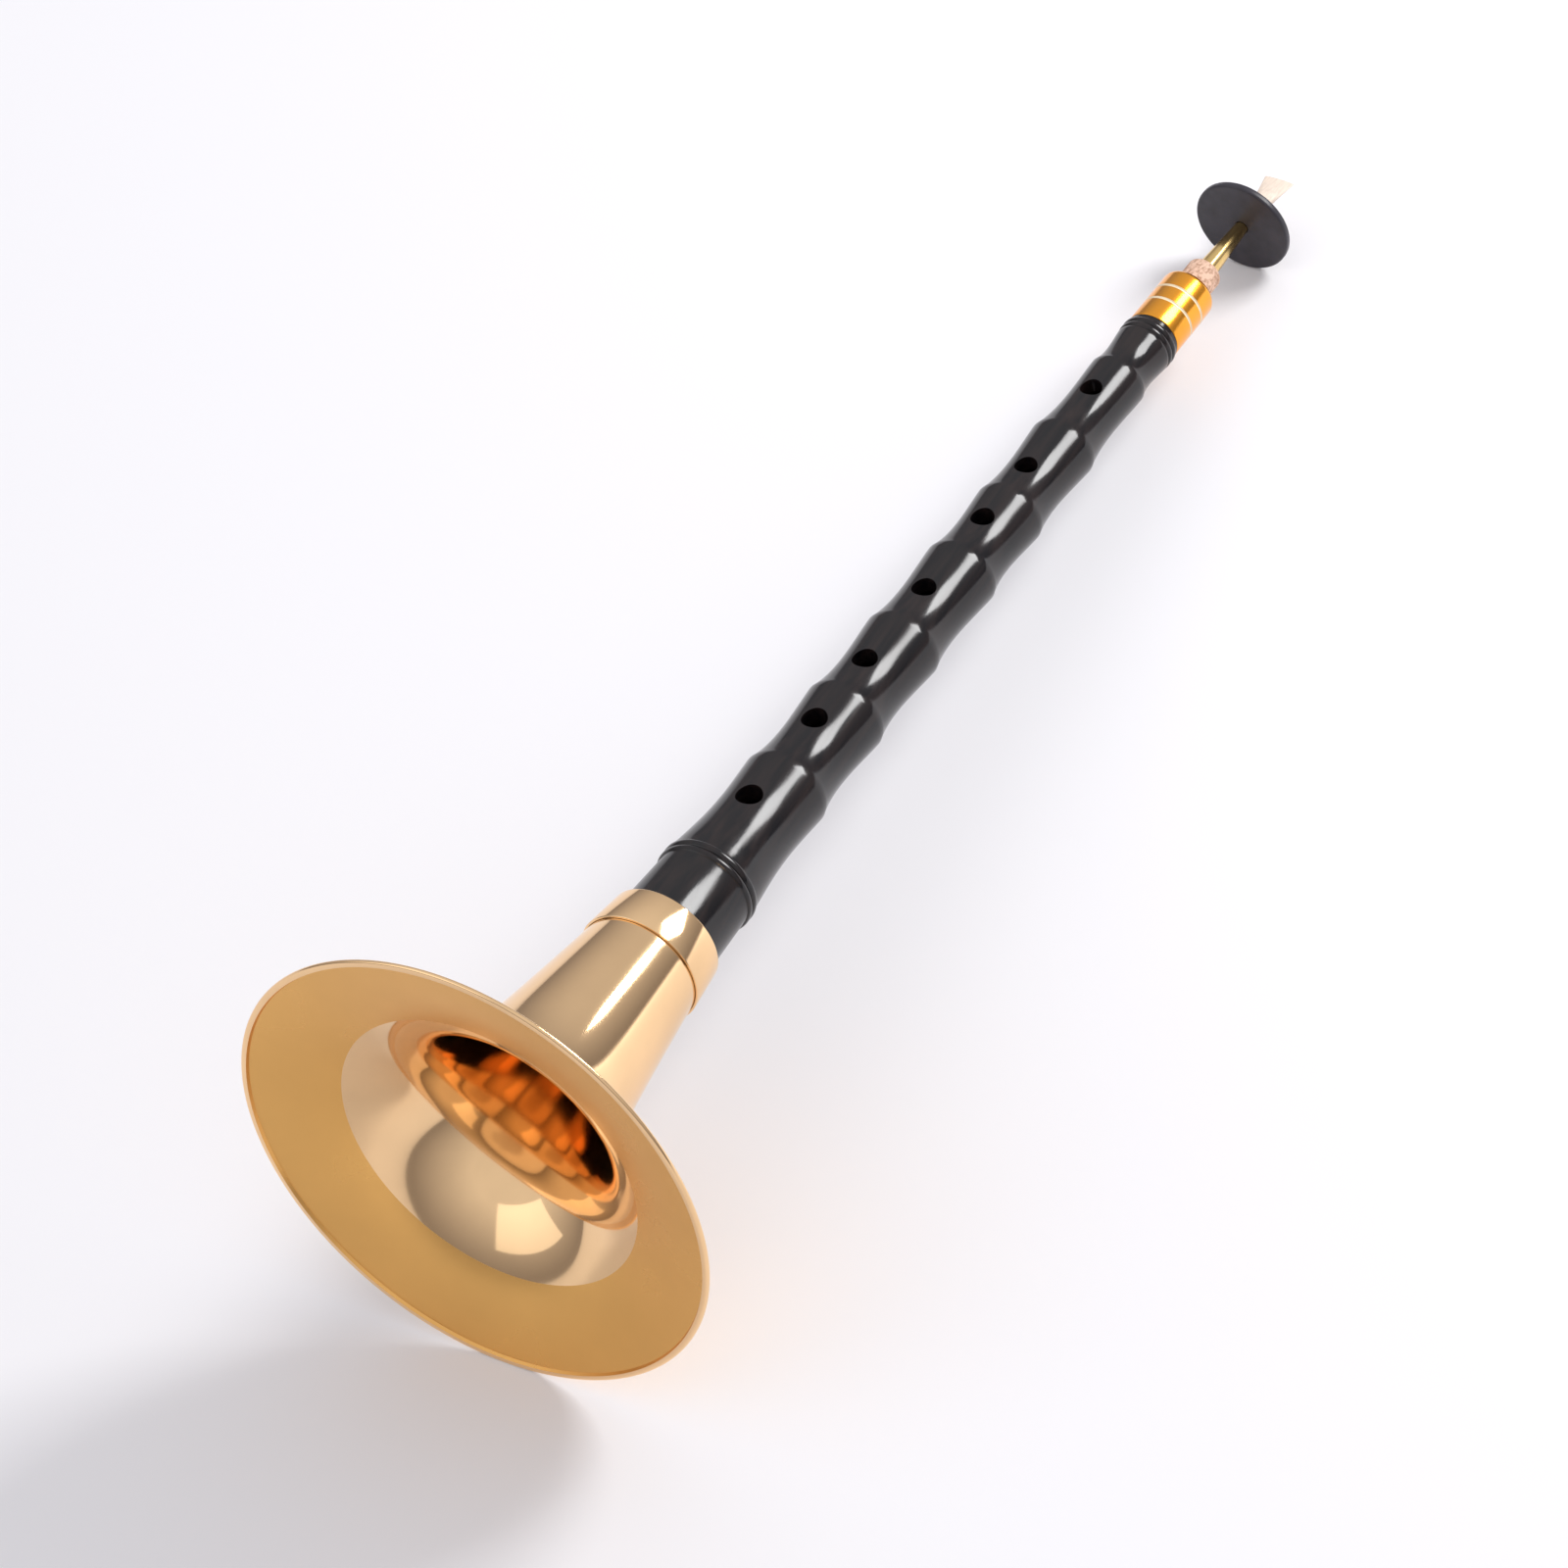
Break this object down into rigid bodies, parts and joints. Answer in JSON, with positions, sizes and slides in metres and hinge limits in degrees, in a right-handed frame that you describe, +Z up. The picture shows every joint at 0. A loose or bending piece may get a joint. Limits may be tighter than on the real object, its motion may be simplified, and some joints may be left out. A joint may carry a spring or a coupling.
{
  "type": "suona",
  "caption": "Double-reed horn: scalloped blackwood pipe with finger holes, flared brass bell, tuning core, staple with lip disc, and reed.",
  "frame": {"origin": "centre of the bounding box at the table surface, with the instrument lying on its bell rim and the lower edge of its lip disc", "axes": "+X towards the reed (the pipe's axis leans 7.9 degrees down to it), +Y across, +Z up, the finger-hole side up"},
  "size_m": [0.3678, 0.1198, 0.1186],
  "materials": {
    "polished_gold_brass": "polished, with a satin flange inside the mouth",
    "black_wood": "oiled and polished to a gloss",
    "natural_cork": "cut cork with small pits",
    "lacquered_gold": "lacquered, satin",
    "staple_brass": "drawn brass",
    "charcoal_horn": "satin",
    "reed_cane": "scraped cane",
    "copper_wire": "bright wire"
  },
  "bodies": {
    "pipe": {"pipe": "black_wood", "tenon_cork": "natural_cork"},
    "bell": {"bell": "polished_gold_brass", "bell_ferrule": "polished_gold_brass"},
    "tuning_core": {"tuning_head": "lacquered_gold", "core_tube": "staple_brass", "core_cork": "natural_cork"},
    "staple": {"staple": "staple_brass", "staple_cork": "natural_cork"},
    "lip_disc": {"lip_disc": "charcoal_horn"},
    "reed": {"reed": "reed_cane", "reed_binding": "copper_wire"}
  },
  "joints": [
    {"name": "bell_pull", "type": "slide", "parent": "pipe", "child": "bell", "axis": [-0.9906, 0, 0.1368], "range_m": [0, 0.025]},
    {"name": "core_pull", "type": "slide", "parent": "pipe", "child": "tuning_core", "axis": [0.9906, 0, -0.1368], "range_m": [0, 0.01]},
    {"name": "staple_pull", "type": "slide", "parent": "tuning_core", "child": "staple", "axis": [0.9906, 0, -0.1368], "range_m": [0, 0.01]},
    {"name": "disc_slip", "type": "slide", "parent": "staple", "child": "lip_disc", "axis": [0.9906, 0, -0.1368], "range_m": [0, 0.002]},
    {"name": "reed_pull", "type": "slide", "parent": "staple", "child": "reed", "axis": [0.9906, 0, -0.1368], "range_m": [0, 0.0045]}
  ]
}
